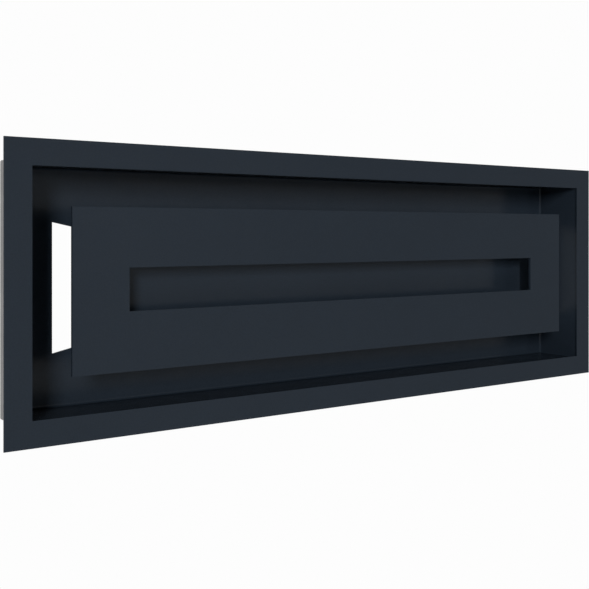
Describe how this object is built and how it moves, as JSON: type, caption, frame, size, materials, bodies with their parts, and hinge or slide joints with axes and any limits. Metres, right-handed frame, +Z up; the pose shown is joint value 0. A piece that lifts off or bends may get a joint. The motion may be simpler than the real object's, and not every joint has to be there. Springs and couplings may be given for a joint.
{
  "type": "fireplace vent grille",
  "caption": "Recessed sheet-steel fireplace vent grille with a floating slotted face plate, side air outlets behind it and a push-in galvanised wall sleeve.",
  "frame": {"origin": "centre of the wall cut-out in the plane of the wall, which is also the plane of the flange's back face", "axes": "+X right as seen from the room, +Y into the wall, +Z up; the flange's front face looks along -Y"},
  "size_m": [0.45, 0.042, 0.16],
  "materials": {
    "graphite_coat": "fine matte powder coat",
    "galvanised_sheet": "dull galvanised",
    "zinc_fixing": "zinc plated",
    "spring_steel": "cold rolled"
  },
  "bodies": {
    "sleeve": {"mounting_sleeve": "galvanised_sheet"},
    "insert": {"front_frame": "graphite_coat", "recess_tray": "graphite_coat", "air_tunnel": "graphite_coat", "face_plate": "graphite_coat", "weld_stud_1": "zinc_fixing", "weld_stud_2": "zinc_fixing", "weld_stud_3": "zinc_fixing", "weld_stud_4": "zinc_fixing", "spacer_1": "zinc_fixing", "spacer_2": "zinc_fixing", "spacer_3": "zinc_fixing", "spacer_4": "zinc_fixing", "flange_nut_1": "zinc_fixing", "flange_nut_2": "zinc_fixing", "flange_nut_3": "zinc_fixing", "flange_nut_4": "zinc_fixing", "spring_clip_top_left": "spring_steel", "spring_clip_top_right": "spring_steel", "spring_clip_bottom_left": "spring_steel", "spring_clip_bottom_right": "spring_steel"}
  },
  "joints": [
    {"name": "insert_pull_out", "type": "slide", "parent": "sleeve", "child": "insert", "axis": [0, -1, 0], "range_m": [0, 0.045]}
  ]
}
